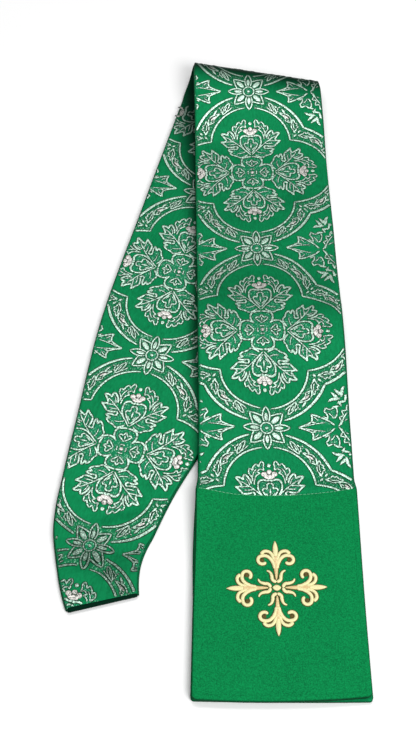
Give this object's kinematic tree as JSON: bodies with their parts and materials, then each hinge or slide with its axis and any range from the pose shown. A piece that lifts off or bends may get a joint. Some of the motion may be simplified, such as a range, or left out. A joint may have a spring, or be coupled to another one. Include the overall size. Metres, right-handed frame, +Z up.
{
  "type": "clerical stole, folded flat",
  "caption": "Brocade clerical stole folded in half at the neck and over once more, lying flat in a narrow V with a plain end panel and cross.",
  "frame": {"origin": "on the floor under the middle of the whole folded stole", "axes": "+Z up from the surface it lies on; +Y towards the fold, -Y towards the hem and the neck"},
  "size_m": [0.238, 0.6102, 0.0238],
  "materials": {
    "brocade": "green satin ground with raised silver-white metallic figures, soft sheen",
    "hidden_cloth": "the same brocade where only its edges show, satin",
    "plain_cloth": "green grained crepe, matte",
    "gold_thread": "pale gold satin stitch, silky"
  },
  "bodies": {
    "root": {"front_half": "brocade", "back_half": "brocade", "folded_layers": "hidden_cloth", "end_panel": "plain_cloth", "cross": "gold_thread"}
  },
  "joints": []
}
